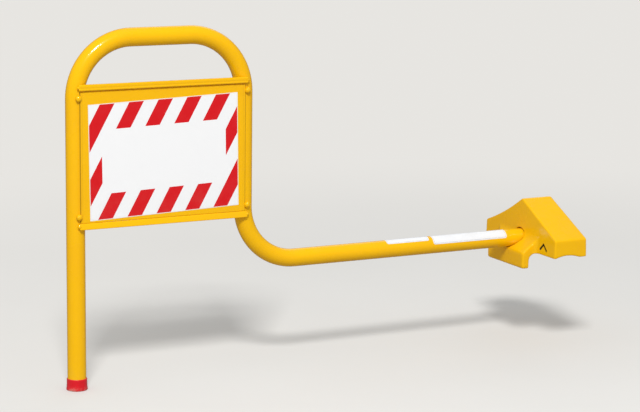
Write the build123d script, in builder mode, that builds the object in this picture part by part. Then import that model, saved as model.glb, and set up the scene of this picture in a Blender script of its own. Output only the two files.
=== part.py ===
"""Rail car chock with a carrying frame: one cast chock that sits on the rail head, a bent tube
handle that reaches out beside the track, and a striped warning panel between its two uprights."""

import math
import os

from build123d import *

os.makedirs("parts", exist_ok=True)

# Axes: +X along the arm from the panel towards the rail, +Y along the rail towards the wheel, +Z up.
# The origin lies on the casting's flat rail seat, near the block's middle and on the arm's line.

# Driving dimensions of the tube frame, in millimetres
tube_od = 25.4
tube_wall = 2.4
bend_radius = 80.0
reach = 734.0
upright_spacing = 246.5
arm_height = 16.5
handle_height = 338.0
foot_height = -139.0

# Rubber cap on the foot of the leg
cap_wall = 1.1
cap_base = 3.0
cap_height = 16.0
cap_flare = 1.0

# Warning panel, hung below the handle, and the two rails along its long edges
panel_drop = 59.0
panel_height = 195.5
sheet_thickness = 2.0
rail_height = 8.5
rail_depth = 5.0
rail_round = 1.8
rail_gap = 1.3

# Printed sheet, stuck on slightly askew, by its mean margins on the panel
decal_side_margin = 14.25
decal_edge_margin = 10.1
decal_tilt = 1.8
decal_drop = 4.0
film = 0.25
film_lift = 0.05

# Tack welds at the panel's corners and at the ends of its rails
tack_radius = 4.6
tack_inset = 8.8
nib_radius = 2.4

# Two blank labels on the upper side of the arm, by where their lower edges lie round the tube
short_label_length = 69.5
short_label_angle = 43.0
short_label_arc = 88.0
label_inset = 29.0
label_gap = 6.0
long_label_length = 124.8
long_label_angle = 13.0
long_label_arc = 116.0

# Casting: the wedge block on the rail head, with its heel standing a little clear of the rail
block_middle_x = -4.0
block_width = 56.0
ridge_width = 51.0
back_y = -97.3
back_height = 27.3
heel_gap = 3.6
heel_y = -45.0
ridge_y = -1.0
ridge_height = 75.3
wheel_radius = 463.0
toe_y = 95.5
edge_round = 2.2
small_round = 1.5

# Casting: the bracket that carries the arm and hangs down the near side of the rail head
bracket_outer_x = -55.0
bracket_thickness = 11.3
bracket_back_y = -47.3
bracket_front_y = 52.0
bracket_depth = 22.0
shoulder_outer = 2.8
shoulder_inner = 20.5
rail_corner = 11.0

# Casting: the tube's socket and the cast mark
socket_depth = 33.3
mouth_radius = 14.4
mouth_depth = 5.0
groove_clearance = 0.4
mark_y = -65.8
mark_z = 16.4
mark_size = 8.0
mark_stroke = 2.2
mark_depth = 1.8

# Places worked out from the driving dimensions
tube_radius = tube_od / 2
leg_x = -reach
upright_x = leg_x + upright_spacing
top_rail_bottom = handle_height - panel_drop - rail_height
bottom_rail_bottom = handle_height - panel_drop - panel_height
block_left = block_middle_x - block_width / 2
block_right = block_middle_x + block_width / 2
ridge_left = block_middle_x - ridge_width / 2
ridge_right = block_middle_x + ridge_width / 2
bracket_inner_x = bracket_outer_x + bracket_thickness
arm_end = block_left + socket_depth
panel_mid_x = leg_x + upright_spacing / 2
panel_back_y = -tube_radius
panel_face_y = panel_back_y - sheet_thickness
sheet_bottom = bottom_rail_bottom + rail_height
sheet_top = top_rail_bottom - rail_gap
long_label_start = block_left - label_inset - long_label_length
short_label_start = long_label_start - label_gap - short_label_length
decal_width = upright_spacing - 2 * decal_side_margin
decal_height = sheet_top - sheet_bottom - 2 * decal_edge_margin
decal_z = (sheet_bottom + sheet_top) / 2 - decal_drop

# The wheel side follows the tread, so its arc is centred on the wheel's own axle
axle_y = ridge_y + math.sqrt(wheel_radius**2 - (wheel_radius - ridge_height) ** 2)
tread_mid_y = (ridge_y + toe_y) / 2


def tread_height(y):
    """Height of the wheel's tread above the rail seat at the place y along the rail."""
    return wheel_radius - math.sqrt(wheel_radius**2 - (axle_y - y) ** 2)


ridge_top = (ridge_y, ridge_height)
toe_top = (toe_y, tread_height(toe_y))

# Sketch planes: looking along the arm with Y to the right, and looking at the panel with X to the right
along_arm = Plane(origin=(0, 0, 0), x_dir=(0, 1, 0), z_dir=(1, 0, 0))
arm_section = Plane(origin=(0, 0, arm_height), x_dir=(0, 1, 0), z_dir=(1, 0, 0))
facing_panel = Plane(origin=(0, 0, 0), x_dir=(1, 0, 0), z_dir=(0, -1, 0))


def save(piece, name):
    """Labels a finished piece and writes it to its own file."""
    piece.part.label = name
    export_step(piece.part, f"parts/{name}.step")


# Tube frame: leg, handle, upright and arm bent from one tube
with BuildPart() as frame_tube:
    with BuildLine(Plane.XZ) as tube_path:
        FilletPolyline(
            (leg_x, foot_height + cap_base),
            (leg_x, handle_height),
            (upright_x, handle_height),
            (upright_x, arm_height),
            (arm_end, arm_height),
            radius=bend_radius,
        )
    with BuildSketch(Plane(origin=(leg_x, 0, foot_height + cap_base), z_dir=(0, 0, 1))):
        Circle(tube_radius)
        Circle(tube_radius - tube_wall, mode=Mode.SUBTRACT)
    sweep(path=tube_path.wire())
save(frame_tube, "frame_tube")

# Foot cap: a rubber cup pushed over the end of the leg
with BuildPart() as foot_cap:
    with BuildSketch(Plane.XZ.shift_origin((leg_x, 0, foot_height))):
        with BuildLine():
            Polyline(
                (0, 0),
                (tube_radius + cap_wall + cap_flare, 0),
                (tube_radius + cap_wall, cap_height),
                (tube_radius, cap_height),
                (tube_radius, cap_base),
                (0, cap_base),
                close=True,
            )
        make_face()
    revolve(axis=Axis((leg_x, 0, foot_height), (0, 0, 1)))
    fillet(foot_cap.faces().sort_by(Axis.Z)[0].edges(), cap_flare)
save(foot_cap, "foot_cap")


def edge_rail(bottom):
    """A rounded flat bar across both uprights, with its lower edge at the given height."""
    with BuildPart() as rail:
        with BuildSketch(Plane.YZ.offset(leg_x)):
            with Locations((panel_back_y - rail_depth / 2, bottom + rail_height / 2)):
                RectangleRounded(rail_depth, rail_height, rail_round)
        extrude(amount=upright_spacing)
    return rail


# Warning panel: a flat sheet between two rounded rails, all resting on the fronts of the uprights
with BuildPart() as sign_plate:
    with BuildSketch(Plane.XZ.offset(-panel_back_y)):
        with Locations((panel_mid_x, (sheet_bottom + sheet_top) / 2)):
            Rectangle(upright_spacing, sheet_top - sheet_bottom)
    extrude(amount=sheet_thickness)
save(sign_plate, "sign_plate")

top_rail = edge_rail(top_rail_bottom)
save(top_rail, "top_rail")
bottom_rail = edge_rail(bottom_rail_bottom)
save(bottom_rail, "bottom_rail")

# Printed sheet on the panel's face
with BuildPart() as sign_decal:
    with BuildSketch(facing_panel.offset(-panel_face_y)):
        with Locations(Location((panel_mid_x, decal_z, 0), (0, 0, decal_tilt))):
            Rectangle(decal_width, decal_height)
    extrude(amount=film)
save(sign_decal, "sign_decal")


def weld_beads(places, radius, front_y):
    """Domed beads of weld at (x, y, z) places, cut back to the uprights and to the face at front_y."""
    with BuildPart() as beads:
        for place in places:
            with Locations(place):
                Sphere(radius)
        with Locations((leg_x, 0), (upright_x, 0)):
            Cylinder(tube_radius, 2 * handle_height, mode=Mode.SUBTRACT)
        with Locations((panel_mid_x, front_y / 2, 0)):
            Box(upright_spacing, -front_y, 2 * handle_height, mode=Mode.SUBTRACT)
    return beads


# Tack welds that hold the sheet by its corners
tack_heights = (sheet_bottom + tack_inset, sheet_top - tack_inset)
tack_places = [(x, panel_face_y, z) for x in (leg_x, upright_x) for z in tack_heights]
plate_tacks = weld_beads(tack_places, tack_radius, panel_face_y)
save(plate_tacks, "plate_tacks")

# Small welds at the four ends of the two rails
rail_middles = (bottom_rail_bottom + rail_height / 2, top_rail_bottom + rail_height / 2)
nib_places = [(x, panel_back_y - rail_depth / 2, z) for x in (leg_x, upright_x) for z in rail_middles]
rail_nibs = weld_beads(nib_places, nib_radius, panel_back_y - rail_depth)
save(rail_nibs, "rail_nibs")


def tube_label(start, length, low_angle, arc):
    """A thin label wrapped over the arm, from low_angle above level at the front, round by arc degrees."""
    inner = tube_radius + film_lift
    outer = inner + film
    clear = 2 * outer
    first = math.radians(180 - low_angle)
    last = math.radians(180 - low_angle - arc)
    with BuildPart() as label:
        with BuildSketch(arm_section.offset(start)):
            Circle(outer)
            Circle(inner, mode=Mode.SUBTRACT)
            with BuildLine():
                Polyline(
                    (0, 0),
                    (clear * math.cos(first), clear * math.sin(first)),
                    (0, 2 * clear),
                    (clear * math.cos(last), clear * math.sin(last)),
                    close=True,
                )
            make_face(mode=Mode.INTERSECT)
        extrude(amount=length)
    return label


short_label = tube_label(short_label_start, short_label_length, short_label_angle, short_label_arc)
save(short_label, "short_label")
long_label = tube_label(long_label_start, long_label_length, long_label_angle, long_label_arc)
save(long_label, "long_label")

# Side outline of the wedge: toe, base with its raised heel, sloped back, ridge and tread arc
with BuildSketch() as side_outline:
    with BuildLine():
        Polyline(
            toe_top, (toe_y, 0), (heel_y, 0), (back_y, heel_gap), (back_y, back_height), ridge_top
        )
        ThreePointArc(ridge_top, (tread_mid_y, tread_height(tread_mid_y)), toe_top)
    make_face()

# Wedge: the side outline across the block, narrowed towards the ridge, with its upper edges rounded
with BuildPart() as wedge:
    with BuildSketch(along_arm.offset(block_left)):
        add(side_outline.sketch_local)
    extrude(amount=block_width)
    with BuildSketch(Plane.XZ.offset(-toe_y)):
        with BuildLine():
            Polyline(
                (block_left, 0),
                (ridge_left, ridge_height),
                (ridge_right, ridge_height),
                (block_right, 0),
                close=True,
            )
        make_face()
    extrude(amount=toe_y - back_y, mode=Mode.INTERSECT)
    base, heel_base = wedge.faces().sort_by(Axis.Z)[:2]
    cast_edges = wedge.edges() - base.edges() - heel_base.edges()
    fillet(cast_edges.sort_by(Axis.Y), edge_round)

# Bracket: slopes down from the block and hangs beside the rail head, whose section is cut out of it
with BuildPart() as bracket:
    with BuildSketch(Plane.XZ.offset(-bracket_front_y)):
        with BuildLine():
            Polyline(
                (ridge_left, -bracket_depth),
                (ridge_left, shoulder_inner),
                (bracket_outer_x, shoulder_outer),
                (bracket_outer_x, -bracket_depth),
                close=True,
            )
        make_face()
    extrude(amount=bracket_front_y - bracket_back_y)
    buried_edges = bracket.faces().sort_by(Axis.X)[-1].edges()
    fillet((bracket.edges() - buried_edges).sort_by(Axis.Y), small_round)
    with BuildSketch(Plane.XZ.offset(-toe_y)):
        with BuildLine():
            side_start = (bracket_inner_x, -rail_corner)
            top_start = (bracket_inner_x + rail_corner, 0)
            corner_mid = rail_corner * math.sqrt(0.5)
            Polyline(
                top_start,
                (block_right, 0),
                (block_right, -2 * bracket_depth),
                (bracket_inner_x, -2 * bracket_depth),
                side_start,
            )
            ThreePointArc(side_start, (top_start[0] - corner_mid, corner_mid - rail_corner), top_start)
        make_face()
    extrude(amount=toe_y - back_y, mode=Mode.SUBTRACT)

# Casting: wedge and bracket in one, bored for the arm and marked beside it
with BuildPart() as chock_casting:
    add(wedge.part)
    add(bracket.part)
    with BuildSketch(arm_section.offset(bracket_outer_x)):
        Circle(tube_radius + groove_clearance)
    extrude(amount=block_left - bracket_outer_x, mode=Mode.SUBTRACT)
    with BuildSketch(arm_section.offset(block_left)):
        Circle(mouth_radius)
    extrude(amount=mouth_depth, mode=Mode.SUBTRACT)
    with BuildSketch(arm_section.offset(block_left)):
        Circle(tube_radius)
    extrude(amount=socket_depth, mode=Mode.SUBTRACT)
    with BuildSketch(along_arm.offset(block_left)):
        with BuildLine() as chevron:
            Polyline(
                (mark_y - mark_size, mark_z - mark_size),
                (mark_y, mark_z),
                (mark_y + mark_size, mark_z - mark_size),
            )
        trace(chevron.line, line_width=mark_stroke)
    extrude(amount=mark_depth, mode=Mode.SUBTRACT)
save(chock_casting, "chock_casting")
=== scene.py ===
"""Looks of a rail car chock: the bent tube, the striped panel, the cast wedge and the foot cup."""

import logging
import math
from dataclasses import dataclass, field
from enum import Enum

import bpy
import numpy as np
from mathutils import Matrix, Vector


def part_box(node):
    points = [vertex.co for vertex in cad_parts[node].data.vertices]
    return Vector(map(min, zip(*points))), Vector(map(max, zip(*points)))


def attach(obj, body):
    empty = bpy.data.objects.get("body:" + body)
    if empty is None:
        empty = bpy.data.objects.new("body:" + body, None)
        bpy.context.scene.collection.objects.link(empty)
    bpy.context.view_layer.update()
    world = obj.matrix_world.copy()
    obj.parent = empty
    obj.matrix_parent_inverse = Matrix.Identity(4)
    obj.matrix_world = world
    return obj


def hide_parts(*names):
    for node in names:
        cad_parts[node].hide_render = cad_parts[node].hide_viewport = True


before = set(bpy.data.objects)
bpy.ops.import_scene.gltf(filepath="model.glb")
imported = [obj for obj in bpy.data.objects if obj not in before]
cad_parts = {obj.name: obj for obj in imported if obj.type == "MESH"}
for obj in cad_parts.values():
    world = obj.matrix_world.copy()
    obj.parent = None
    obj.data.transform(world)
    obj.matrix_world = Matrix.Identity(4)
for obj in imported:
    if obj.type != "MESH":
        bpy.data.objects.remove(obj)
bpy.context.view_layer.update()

LOG = logging.getLogger("chock")
MM = 0.001
GROUND = -0.139

Array = np.ndarray
Colour = tuple[float, float, float, float]


class Slot(Enum):
    """Material slots of the record."""

    PAINT = "yellow_paint"
    CASTING = "yellow_casting"
    SHEET = "yellow_sheet"
    PRINT = "striped_film"
    LABEL = "white_film"
    RUBBER = "red_rubber"


class Way(Enum):
    """Whether each line of a grid of points closes on itself."""

    OPEN = 0
    ROUND = 1


def grid_quads(rows: int, columns: int, way: Way) -> Array:
    """Quads between neighbours of a grid, numbered row by row.

    Args:
        rows: lines of points.
        columns: points in a line.
        way: OPEN for a patch, ROUND where each line closes.

    Returns:
        One row of four point numbers for each quad.
    """
    along = np.arange(columns if way is Way.ROUND else columns - 1)
    row, column = np.meshgrid(np.arange(rows - 1), along, indexing="ij")
    next_column = (column + 1) % columns
    corners = [
        row * columns + column,
        row * columns + next_column,
        (row + 1) * columns + next_column,
        (row + 1) * columns + column,
    ]
    return np.stack([corner.ravel() for corner in corners], axis=1)


def tube_faces(rows: int, sides: int) -> list:
    """Quads between rings of points, and one many-sided face on each end ring.

    Args:
        rows: number of rings.
        sides: points in a ring.

    Returns:
        Lists of point numbers.
    """
    first = list(range(sides))
    last = list(range((rows - 1) * sides, rows * sides))
    return grid_quads(rows, sides, Way.ROUND).tolist() + [first[::-1], last]


def fan_faces(centre: int, ring: Array) -> list:
    """Triangles from one point to each two neighbours on a closed ring of point numbers."""
    return np.stack([np.full_like(ring, centre), ring, np.roll(ring, -1)], axis=1).tolist()


def add_piece(name: str, points: Array, faces: list, stands_for: list[str]) -> bpy.types.Object:
    """Makes a smooth mesh piece that rides on the body and stands for CAD nodes.

    Args:
        name: the piece's name.
        points: its points in millimetres, one row each.
        faces: lists of point numbers, counter-clockwise from outside.
        stands_for: the CAD nodes that it replaces.

    Returns:
        The new object.
    """
    mesh = bpy.data.meshes.new(name)
    mesh.from_pydata((np.asarray(points).reshape(-1, 3) * MM).tolist(), [], faces)
    mesh.polygons.foreach_set("use_smooth", np.ones(len(mesh.polygons), bool))
    mesh.update()
    piece = bpy.data.objects.new(name, mesh)
    bpy.context.scene.collection.objects.link(piece)
    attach(piece, "root")
    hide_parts(*stands_for)
    return piece


def dress(piece: bpy.types.Object, material: bpy.types.Material) -> None:
    """Gives a piece its one material."""
    piece.data.materials.clear()
    piece.data.materials.append(material)


def shade_by_angle(piece: bpy.types.Object, degrees: float) -> None:
    """Keeps edges sharper than the angle crisp and shades the rest smoothly."""
    piece.data.set_sharp_from_angle(angle=math.radians(degrees))


def add_values(piece: bpy.types.Object, name: str, values: Array) -> None:
    """Keeps one number for each point of a piece under a name that its material reads."""
    attribute = piece.data.attributes.new(name, "FLOAT", "POINT")
    attribute.data.foreach_set("value", np.asarray(values, np.float32).ravel())


def report(piece: bpy.types.Object) -> None:
    """Logs a finished piece with its number of faces."""
    LOG.info("%s: %d faces", piece.name, len(piece.data.polygons))


def node_box(node: str) -> tuple[Array, Array]:
    """Lowest and highest corners of a CAD node, in millimetres."""
    low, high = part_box(node)
    return np.array(low) / MM, np.array(high) / MM


def waves(x: Array, y: Array, length: float, turn: float) -> Array:
    """A calm uneven surface between -1 and 1.

    Three sine waves of unlike lengths and directions are added up and shared out by three.

    Args:
        x: first coordinate of each point.
        y: second coordinate of each point.
        length: the longest wave's length, in the same unit.
        turn: phase in radians, so that two surfaces differ.

    Returns:
        The height at each point.
    """
    pitch = 2 * math.pi / length
    first = np.sin(pitch * (x + 0.4 * y) + turn)
    second = np.sin(pitch * 1.7 * (0.3 * x - y) + 2.1 * turn)
    third = np.sin(pitch * 2.6 * (0.8 * x + 0.6 * y) + 3.7 * turn)
    return (first + second + third) / 3


def closed_sheet(front: Array, back: Array) -> tuple[Array, list]:
    """A thin closed body between two grids of points that match.

    The front keeps its winding, the back is turned round, and a strip of quads joins the two along the rim.

    Args:
        front: rows by columns by three, counter-clockwise seen from the front.
        back: the same number of points behind it.

    Returns:
        All points and all faces.
    """
    rows, columns = front.shape[:2]
    count = rows * columns
    face = grid_quads(rows, columns, Way.OPEN)
    number = np.arange(count).reshape(rows, columns)
    rim = np.concatenate([number[0, :-1], number[:-1, -1], number[-1, :0:-1], number[:0:-1, 0]])
    after = np.roll(rim, -1)
    strip = np.stack([rim, rim + count, after + count, after], axis=1)
    faces = np.concatenate([face, face[:, ::-1] + count, strip])
    return np.concatenate([front.reshape(-1, 3), back.reshape(-1, 3)]), faces.tolist()


class Graph:
    """Adds shader nodes to a tree and joins them."""

    def __init__(self, tree: bpy.types.NodeTree) -> None:
        """Starts from an empty tree.

        Args:
            tree: the node tree to fill.
        """
        self.tree = tree
        tree.nodes.clear()

    def add(self, kind: str, values: dict | None = None, **settings: object) -> bpy.types.Node:
        """Adds a node.

        Args:
            kind: the node's type name.
            values: socket names or numbers with a constant or an output socket for each.
            settings: attributes of the node.

        Returns:
            The node.
        """
        node = self.tree.nodes.new(kind)
        for key, value in settings.items():
            setattr(node, key, value)
        for key, value in (values or {}).items():
            self.feed(node.inputs[key], value)
        return node

    def feed(self, socket: bpy.types.NodeSocket, value: object) -> None:
        """Links an output to a socket, or writes a constant into it.

        Args:
            socket: the input to fill.
            value: an output socket or a constant.
        """
        if isinstance(value, bpy.types.NodeSocket):
            self.tree.links.new(value, socket)
        else:
            socket.default_value = value

    def math(self, operation: str, first: object, second: object = 0.0, clamp: bool = False) -> object:
        """Result of one Math node.

        Args:
            operation: the node's operation.
            first: first number or socket.
            second: second number or socket.
            clamp: whether the result stays between 0 and 1.

        Returns:
            The output socket.
        """
        node = self.add("ShaderNodeMath", {0: first, 1: second}, operation=operation, use_clamp=clamp)
        return node.outputs[0]

    def span(
        self, value: object, low: float, high: float, to_low: float = 0.0, to_high: float = 1.0
    ) -> object:
        """Smooth step of a value from one range to another.

        Args:
            value: the socket to read.
            low: value that gives to_low.
            high: value that gives to_high.
            to_low: result at low.
            to_high: result at high.

        Returns:
            The output socket.
        """
        values = {"Value": value, "From Min": low, "From Max": high, "To Min": to_low, "To Max": to_high}
        return self.add("ShaderNodeMapRange", values, interpolation_type="SMOOTHSTEP").outputs["Result"]

    def mix(self, share: object, first: object, second: object) -> object:
        """Mixes two colours.

        Args:
            share: how much of the second, between 0 and 1.
            first: colour or socket that a share of 0 gives.
            second: colour or socket that a share of 1 gives.

        Returns:
            The output socket.
        """
        node = self.add("ShaderNodeMix", data_type="RGBA")
        self.feed(node.inputs[0], share)
        self.feed(node.inputs[6], first)
        self.feed(node.inputs[7], second)
        return node.outputs[2]

    def noise(self, place: object, scale: object, detail: float = 2.0, roughness: float = 0.5) -> object:
        """Value of a noise texture at a place, as an output socket."""
        values = {"Vector": place, "Scale": scale, "Detail": detail, "Roughness": roughness}
        return self.add("ShaderNodeTexNoise", values).outputs["Fac"]

    def place(self) -> object:
        """Object coordinates, in metres."""
        return self.add("ShaderNodeTexCoord").outputs["Object"]

    def group(self, tree: bpy.types.NodeTree, values: dict) -> bpy.types.Node:
        """Places a node group with its own values.

        Args:
            tree: the group's tree.
            values: input names with a constant or an output socket for each.

        Returns:
            The group node.
        """
        node = self.add("ShaderNodeGroup", node_tree=tree)
        for key, value in values.items():
            self.feed(node.inputs[key], value)
        return node


def new_group(name: str, inputs: dict[str, str], outputs: dict[str, str]) -> tuple[Graph, dict, object]:
    """Starts a node group with named sockets.

    Args:
        name: the group's name.
        inputs: socket types by input name.
        outputs: socket types by output name.

    Returns:
        The graph, its input sockets by name, and the output node.
    """
    tree = bpy.data.node_groups.new(name, "ShaderNodeTree")
    for label, kind in inputs.items():
        tree.interface.new_socket(label, in_out="INPUT", socket_type=kind)
    for label, kind in outputs.items():
        tree.interface.new_socket(label, in_out="OUTPUT", socket_type=kind)
    graph = Graph(tree)
    entry = graph.add("NodeGroupInput")
    sockets = {label: entry.outputs[label] for label in inputs}
    return graph, sockets, graph.add("NodeGroupOutput")


NUMBER, COLOUR, VECTOR = "NodeSocketFloat", "NodeSocketColor", "NodeSocketVector"


@dataclass(frozen=True)
class Effects:
    """Node groups that several finishes share."""

    skin: bpy.types.NodeTree
    tone: bpy.types.NodeTree
    dust: bpy.types.NodeTree
    chips: bpy.types.NodeTree
    rub: bpy.types.NodeTree


def skin_group() -> bpy.types.NodeTree:
    """Height of a sprayed or moulded skin: a broad ripple with a finer one on it.

    Returns:
        The node group.
    """
    inputs = {"Place": VECTOR, "Ripples": NUMBER, "Grains": NUMBER, "Grain Share": NUMBER}
    graph, given, out = new_group("surface_skin", inputs, {"Height": NUMBER})
    ripple = graph.noise(given["Place"], given["Ripples"], 1.0)
    grain = graph.noise(given["Place"], given["Grains"], 3.0)
    fine = graph.math("MULTIPLY", grain, given["Grain Share"])
    graph.feed(out.inputs["Height"], graph.math("ADD", ripple, fine))
    return graph.tree


def tone_group() -> bpy.types.NodeTree:
    """Colour that drifts slowly between a fresh tone and a deeper one.

    Returns:
        The node group.
    """
    inputs = {"Place": VECTOR, "Fresh": COLOUR, "Deep": COLOUR, "Patches": NUMBER, "Amount": NUMBER}
    graph, given, out = new_group("tone_drift", inputs, {"Color": COLOUR, "Mask": NUMBER})
    mask = graph.span(graph.noise(given["Place"], given["Patches"], 4.0), 0.35, 0.7)
    share = graph.math("MULTIPLY", mask, given["Amount"])
    graph.feed(out.inputs["Color"], graph.mix(share, given["Fresh"], given["Deep"]))
    graph.feed(out.inputs["Mask"], mask)
    return graph.tree


def dust_group() -> bpy.types.NodeTree:
    """Dust mask: a patchy veil on faces that look up, and more of it low down by the ground.

    Returns:
        The node group.
    """
    inputs = {"Place": VECTOR, "Amount": NUMBER, "Ground": NUMBER, "Splash": NUMBER}
    graph, given, out = new_group("settled_dust", inputs, {"Mask": NUMBER})
    normal = graph.add("ShaderNodeNewGeometry").outputs["Normal"]
    upward = graph.add("ShaderNodeSeparateXYZ", {0: normal}).outputs["Z"]
    lying = graph.span(upward, 0.35, 1.0)
    height = graph.add("ShaderNodeSeparateXYZ", {0: given["Place"]}).outputs["Z"]
    above = graph.math("DIVIDE", graph.math("SUBTRACT", height, given["Ground"]), given["Splash"])
    low = graph.span(above, 1.0, 0.0)
    cloud = graph.span(graph.noise(given["Place"], 46.0, 6.0, 0.65), 0.42, 0.72)
    speck = graph.span(graph.noise(given["Place"], 520.0, 2.0, 0.6), 0.52, 0.72)
    both = graph.math("ADD", graph.math("MULTIPLY", lying, 0.5), low)
    patchy = graph.math("MULTIPLY", both, graph.math("ADD", cloud, graph.math("MULTIPLY", speck, 0.6)))
    graph.feed(out.inputs["Mask"], graph.math("MULTIPLY", patchy, given["Amount"], clamp=True))
    return graph.tree


def chips_group() -> bpy.types.NodeTree:
    """Chip mask: in a few cells of a cell pattern, a small spot with a ragged outline.

    Returns:
        The node group.
    """
    inputs = {"Place": VECTOR, "Cells": NUMBER, "Share": NUMBER, "Size": NUMBER}
    graph, given, out = new_group("paint_chips", inputs, {"Mask": NUMBER})
    ragged = graph.noise(given["Place"], 900.0)
    cells = graph.add("ShaderNodeTexVoronoi", {"Vector": given["Place"], "Scale": given["Cells"]})
    pick = graph.add("ShaderNodeSeparateColor", {0: cells.outputs["Color"]})
    chosen = graph.math("LESS_THAN", pick.outputs["Red"], given["Share"])
    size = graph.math("MULTIPLY", given["Size"], graph.math("ADD", pick.outputs["Green"], 0.35))
    rough_edge = graph.math("MULTIPLY", graph.math("SUBTRACT", ragged, 0.5), 0.09)
    reach = graph.math("ADD", cells.outputs["Distance"], rough_edge)
    inside = graph.math("DIVIDE", graph.math("SUBTRACT", size, reach), 0.02, clamp=True)
    graph.feed(out.inputs["Mask"], graph.math("MULTIPLY", inside, chosen))
    return graph.tree


def rub_group() -> bpy.types.NodeTree:
    """Edge mask: convex edges, broken up by noise.

    Returns:
        The node group.
    """
    inputs = {"Place": VECTOR, "Start": NUMBER, "Breaks": NUMBER}
    graph, given, out = new_group("edge_rub", inputs, {"Mask": NUMBER})
    convex = graph.add("ShaderNodeNewGeometry").outputs["Pointiness"]
    breaks = graph.noise(given["Place"], given["Breaks"], 5.0)
    shift = graph.math("MULTIPLY", graph.math("SUBTRACT", breaks, 0.5), 0.12)
    above = graph.math("SUBTRACT", graph.math("ADD", convex, shift), given["Start"])
    graph.feed(out.inputs["Mask"], graph.math("MULTIPLY", above, 18.0, clamp=True))
    return graph.tree


def make_effects() -> Effects:
    """Builds every shared node group once."""
    return Effects(skin_group(), tone_group(), dust_group(), chips_group(), rub_group())


def new_material(name: str) -> tuple[bpy.types.Material, Graph]:
    """Makes a material with an empty node graph.

    Args:
        name: the material's name.

    Returns:
        The material and its graph.
    """
    material = bpy.data.materials.new(name)
    material.use_nodes = True
    return material, Graph(material.node_tree)


def close_material(graph: Graph, shader: bpy.types.Node) -> None:
    """Ends a graph in the material's output."""
    graph.add("ShaderNodeOutputMaterial", {"Surface": shader.outputs[0]})


@dataclass(frozen=True)
class Skin:
    """Fine relief of a finish: ripples and grains in a metre, the grains' share, and the depth in metres."""

    ripples: float
    grains: float
    grain_share: float
    depth: float

    def height(self, graph: Graph, effects: Effects, place: object) -> object:
        """Height of the relief at a place, as an output socket."""
        values = {"Ripples": self.ripples, "Grains": self.grains, "Grain Share": self.grain_share}
        return graph.group(effects.skin, {"Place": place} | values).outputs["Height"]

    def normal(self, graph: Graph, height: object) -> object:
        """Normal of a surface with this height, as an output socket."""
        values = {"Height": height, "Distance": self.depth, "Strength": 1.0}
        return graph.add("ShaderNodeBump", values).outputs["Normal"]


@dataclass(frozen=True)
class Dust:
    """Settled dust: its amount, the ground's height and how far up from it more dust lies, in metres."""

    amount: float
    ground: float
    splash: float

    def mask(self, graph: Graph, effects: Effects, place: object) -> object:
        """Share of dust at a place, as an output socket."""
        values = {"Place": place, "Amount": self.amount, "Ground": self.ground, "Splash": self.splash}
        return graph.group(effects.dust, values).outputs["Mask"]


@dataclass(frozen=True)
class Enamel:
    """Gloss safety yellow enamel, sprayed over steel or over a rough casting."""

    name: str
    skin: Skin = Skin(170.0, 900.0, 0.15, 0.00006)
    dust: Dust = Dust(0.04, GROUND, 0.055)
    patches: float = 14.0
    drift: float = 0.45
    chip_cells: float = 55.0
    chip_share: float = 0.05
    chip_size: float = 0.055
    chip_step: float = 1.4
    rub_start: float = 0.62
    rub_breaks: float = 160.0
    # Strength of the painted shade that a point attribute of the mesh gives.
    painted_shade_strength: float = 0.93
    gloss: float = 0.24
    dull: float = 0.75
    coat: float = 0.45
    fresh: Colour = (0.93, 0.505, 0.002, 1.0)
    deep: Colour = (0.91, 0.455, 0.002, 1.0)
    primer: Colour = (0.20, 0.085, 0.035, 1.0)
    # Near-black colour of the painted shade in crevices and recesses.
    painted_shade_colour: Colour = (0.025, 0.018, 0.012, 1.0)
    dust_colour: Colour = (0.62, 0.52, 0.38, 1.0)

    def make(self, effects: Effects) -> bpy.types.Material:
        """Builds the enamel's material.

        Chips and rubbed edges show primer, a point attribute of the mesh paints shade into crevices, the
        arm's mouth and the cast mark, and dust lies over all. Where the paint is worn or dusty it is dull
        and has no coat.

        Args:
            effects: the shared node groups.

        Returns:
            The material.
        """
        material, graph = new_material(self.name)
        place = graph.place()
        tone_values = {"Fresh": self.fresh, "Deep": self.deep, "Patches": self.patches, "Amount": self.drift}
        tone = graph.group(effects.tone, {"Place": place} | tone_values)
        dust = self.dust.mask(graph, effects, place)
        chip_values = {"Cells": self.chip_cells, "Share": self.chip_share, "Size": self.chip_size}
        chips = graph.group(effects.chips, {"Place": place} | chip_values).outputs["Mask"]
        rub_values = {"Place": place, "Start": self.rub_start, "Breaks": self.rub_breaks}
        rub = graph.group(effects.rub, rub_values).outputs["Mask"]
        bare = graph.math("MAXIMUM", chips, rub)
        # Painted shade: a point attribute darkens crevices, the arm's mouth and the cast mark towards near
        # black.
        painted_shade = graph.add("ShaderNodeAttribute", attribute_name="painted_shade").outputs["Fac"]
        colour = graph.mix(bare, tone.outputs["Color"], self.primer)
        colour = graph.mix(graph.math("MULTIPLY", painted_shade, self.painted_shade_strength, clamp=True), colour, self.painted_shade_colour)
        colour = graph.mix(dust, colour, self.dust_colour)
        height = self.skin.height(graph, effects, place)
        sunk = graph.math("SUBTRACT", height, graph.math("MULTIPLY", bare, self.chip_step))
        worn = graph.math("MAXIMUM", dust, bare)
        worn_rough = graph.span(worn, 0.0, 0.8, self.gloss, self.dull)
        patch_rough = graph.span(tone.outputs["Mask"], 0, 1, 0, 0.08)
        sockets = {
            "Base Color": colour,
            "Roughness": graph.math("ADD", worn_rough, patch_rough),
            "Specular IOR Level": 0.15,
            "Coat Weight": graph.span(worn, 0.0, 0.5, self.coat, 0.0),
            "Coat Roughness": 0.08,
            "Coat IOR": 1.5,
            "Normal": self.skin.normal(graph, sunk),
        }
        close_material(graph, graph.add("ShaderNodeBsdfPrincipled", sockets))
        return material


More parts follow.
